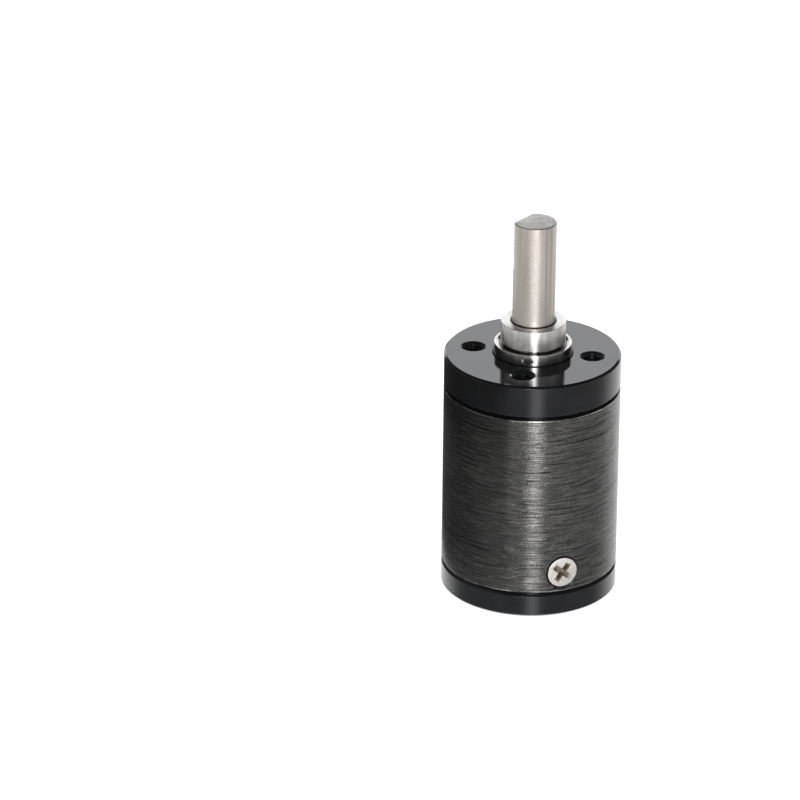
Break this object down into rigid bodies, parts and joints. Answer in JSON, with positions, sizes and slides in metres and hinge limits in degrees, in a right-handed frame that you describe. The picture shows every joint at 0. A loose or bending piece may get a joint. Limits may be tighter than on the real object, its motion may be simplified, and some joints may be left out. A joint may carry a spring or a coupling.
{
  "type": "planetary gearbox",
  "caption": "Round inline planetary gearbox: D-cut output shaft in ball bearings, tapped front flange, toothed ring-gear body and a pinion for a motor at the back.",
  "frame": {"origin": "centre of the base flange's motor face, where the motor bolts on", "axes": "+Z along the output shaft, away from the motor; two of the tapped front holes lie on +X and -X, and the motor screw holes lie on +Y and -Y"},
  "size_m": [0.025, 0.025, 0.0554],
  "materials": {
    "blackened_steel": "black-oxide steel with fine turning lines",
    "black_anodised": "polished black anodised aluminium",
    "stainless_steel": "ground stainless steel",
    "turned_steel": "turned bright steel",
    "bearing_steel": "ground bearing steel",
    "shield_steel": "pressed sheet steel",
    "cage_brass": "pressed brass",
    "ball_steel": "mirror polish",
    "nickel_plate": "satin nickel plate",
    "bronze": "lapped bronze",
    "brass": "hobbed brass",
    "gear_steel": "sintered and oiled gear steel",
    "carrier_steel": "turned carbon steel",
    "pin_steel": "ground and hardened pin steel"
  },
  "bodies": {
    "housing": {"ring_gear": "blackened_steel", "front_flange": "black_anodised", "base_flange": "black_anodised", "base_screws": "nickel_plate", "base_thrust_washer": "bronze", "front_bearing_outer_race": "bearing_steel", "front_bearing_shields": "shield_steel", "rear_bearing_outer_race": "bearing_steel", "rear_bearing_shields": "shield_steel"},
    "output": {"output_shaft": "stainless_steel", "output_carrier": "carrier_steel", "shaft_collar": "turned_steel", "bearing_spacer": "turned_steel", "front_bearing_inner_race": "bearing_steel", "rear_bearing_inner_race": "bearing_steel", "output_pin_1": "pin_steel", "output_pin_2": "pin_steel", "output_pin_3": "pin_steel"},
    "output_planet_1": {"output_planet_1": "gear_steel"},
    "output_planet_2": {"output_planet_2": "gear_steel"},
    "output_planet_3": {"output_planet_3": "gear_steel"},
    "middle": {"mid_carrier": "carrier_steel", "output_sun_gear": "gear_steel", "mid_thrust_washer": "bronze", "input_pin_1": "pin_steel", "input_pin_2": "pin_steel", "input_pin_3": "pin_steel"},
    "input_planet_1": {"input_planet_1": "gear_steel"},
    "input_planet_2": {"input_planet_2": "gear_steel"},
    "input_planet_3": {"input_planet_3": "gear_steel"},
    "input_sun": {"input_sun_gear": "brass"},
    "front_bearing_cage": {"front_bearing_cage": "cage_brass", "front_bearing_balls": "ball_steel"},
    "rear_bearing_cage": {"rear_bearing_cage": "cage_brass", "rear_bearing_balls": "ball_steel"}
  },
  "joints": [
    {"name": "output_spin", "type": "hinge", "parent": "housing", "child": "output", "pos_m": [0, 0, 0.045], "axis": [0, 0, 1], "continuous": true},
    {"name": "output_planet_1_spin", "type": "hinge", "parent": "output", "child": "output_planet_1", "pos_m": [0.006, 0, 0.0205], "axis": [0, 0, 1], "continuous": true},
    {"name": "output_planet_2_spin", "type": "hinge", "parent": "output", "child": "output_planet_2", "pos_m": [-0.003, 0.0052, 0.0205], "axis": [0, 0, 1], "continuous": true},
    {"name": "output_planet_3_spin", "type": "hinge", "parent": "output", "child": "output_planet_3", "pos_m": [-0.003, -0.0052, 0.0205], "axis": [0, 0, 1], "continuous": true},
    {"name": "middle_spin", "type": "hinge", "parent": "housing", "child": "middle", "pos_m": [0, 0, 0.0163], "axis": [0, 0, 1], "continuous": true},
    {"name": "input_planet_1_spin", "type": "hinge", "parent": "middle", "child": "input_planet_1", "pos_m": [0.006, 0, 0.0127], "axis": [0, 0, 1], "continuous": true},
    {"name": "input_planet_2_spin", "type": "hinge", "parent": "middle", "child": "input_planet_2", "pos_m": [-0.003, 0.0052, 0.0127], "axis": [0, 0, 1], "continuous": true},
    {"name": "input_planet_3_spin", "type": "hinge", "parent": "middle", "child": "input_planet_3", "pos_m": [-0.003, -0.0052, 0.0127], "axis": [0, 0, 1], "continuous": true},
    {"name": "input_spin", "type": "hinge", "parent": "housing", "child": "input_sun", "pos_m": [0, 0, 0.0102], "axis": [0, 0, 1], "continuous": true},
    {"name": "front_bearing_cage_spin", "type": "hinge", "parent": "housing", "child": "front_bearing_cage", "pos_m": [0, 0, 0.0357], "axis": [0, 0, 1], "continuous": true},
    {"name": "rear_bearing_cage_spin", "type": "hinge", "parent": "housing", "child": "rear_bearing_cage", "pos_m": [0, 0, 0.0289], "axis": [0, 0, 1], "continuous": true}
  ],
  "couplings": [
    {"joint": "output_planet_1_spin", "follows": "output_spin", "ratio": -3},
    {"joint": "output_planet_2_spin", "follows": "output_spin", "ratio": -3},
    {"joint": "output_planet_3_spin", "follows": "output_spin", "ratio": -3},
    {"joint": "middle_spin", "follows": "output_spin", "ratio": 4},
    {"joint": "input_planet_1_spin", "follows": "output_spin", "ratio": -12},
    {"joint": "input_planet_2_spin", "follows": "output_spin", "ratio": -12},
    {"joint": "input_planet_3_spin", "follows": "output_spin", "ratio": -12},
    {"joint": "input_spin", "follows": "output_spin", "ratio": 16},
    {"joint": "front_bearing_cage_spin", "follows": "output_spin", "ratio": 0.43333},
    {"joint": "rear_bearing_cage_spin", "follows": "output_spin", "ratio": 0.43333}
  ]
}
